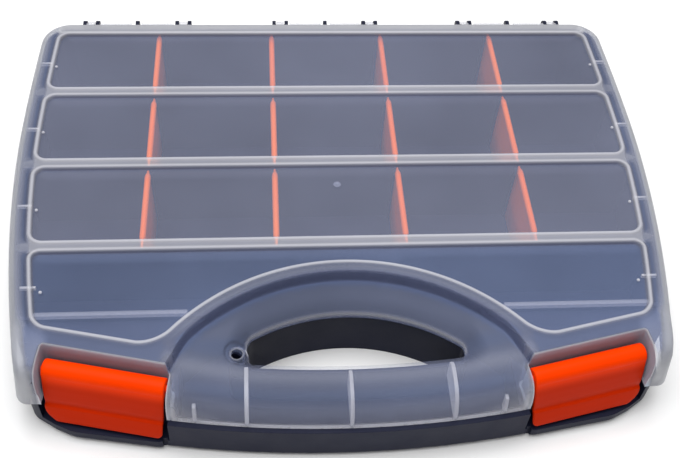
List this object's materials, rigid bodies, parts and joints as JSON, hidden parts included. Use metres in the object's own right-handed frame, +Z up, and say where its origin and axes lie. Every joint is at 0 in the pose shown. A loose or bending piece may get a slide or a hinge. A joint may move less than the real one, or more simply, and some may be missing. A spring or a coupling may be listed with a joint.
{
  "type": "small parts sorting box",
  "caption": "Flat carry case for sorting small parts: hinged see-through lid, deep tray with loose dividers, two snap latches and a moulded handle.",
  "frame": {"origin": "on the table, in the middle of the box in plan", "axes": "+X to the right along the handle side, +Y from the handle to the hinges, +Z up through the lid"},
  "size_m": [0.39, 0.3116, 0.056],
  "materials": {
    "base": "fine satin moulded plastic, dark navy",
    "lid": "smooth translucent moulded plastic, smoky grey-blue",
    "latch": "smooth orange-red moulded plastic",
    "divider": "smooth orange-red moulded plastic"
  },
  "bodies": {
    "tray": {"base_tray": "base", "divider_r1_c1": "divider", "divider_r1_c2": "divider", "divider_r1_c3": "divider", "divider_r1_c4": "divider", "divider_r2_c1": "divider", "divider_r2_c2": "divider", "divider_r2_c3": "divider", "divider_r2_c4": "divider", "divider_r3_c1": "divider", "divider_r3_c2": "divider", "divider_r3_c3": "divider", "divider_r3_c4": "divider"},
    "lid": {"lid": "lid"},
    "latch_left": {"latch_left": "latch"},
    "latch_right": {"latch_right": "latch"}
  },
  "joints": [
    {"name": "lid_hinge", "type": "hinge", "parent": "tray", "child": "lid", "pos_m": [0, 0.15135, 0.047], "axis": [-1, 0, 0], "range_deg": [0, 110]},
    {"name": "latch_right_hinge", "type": "hinge", "parent": "lid", "child": "latch_right", "pos_m": [0.1296, -0.12855, 0.0429], "axis": [-0.9761, -0.2175, 0], "range_deg": [0, 95]},
    {"name": "latch_left_hinge", "type": "hinge", "parent": "lid", "child": "latch_left", "pos_m": [-0.1296, -0.12855, 0.0429], "axis": [-0.9761, 0.2175, 0], "range_deg": [0, 95]}
  ]
}
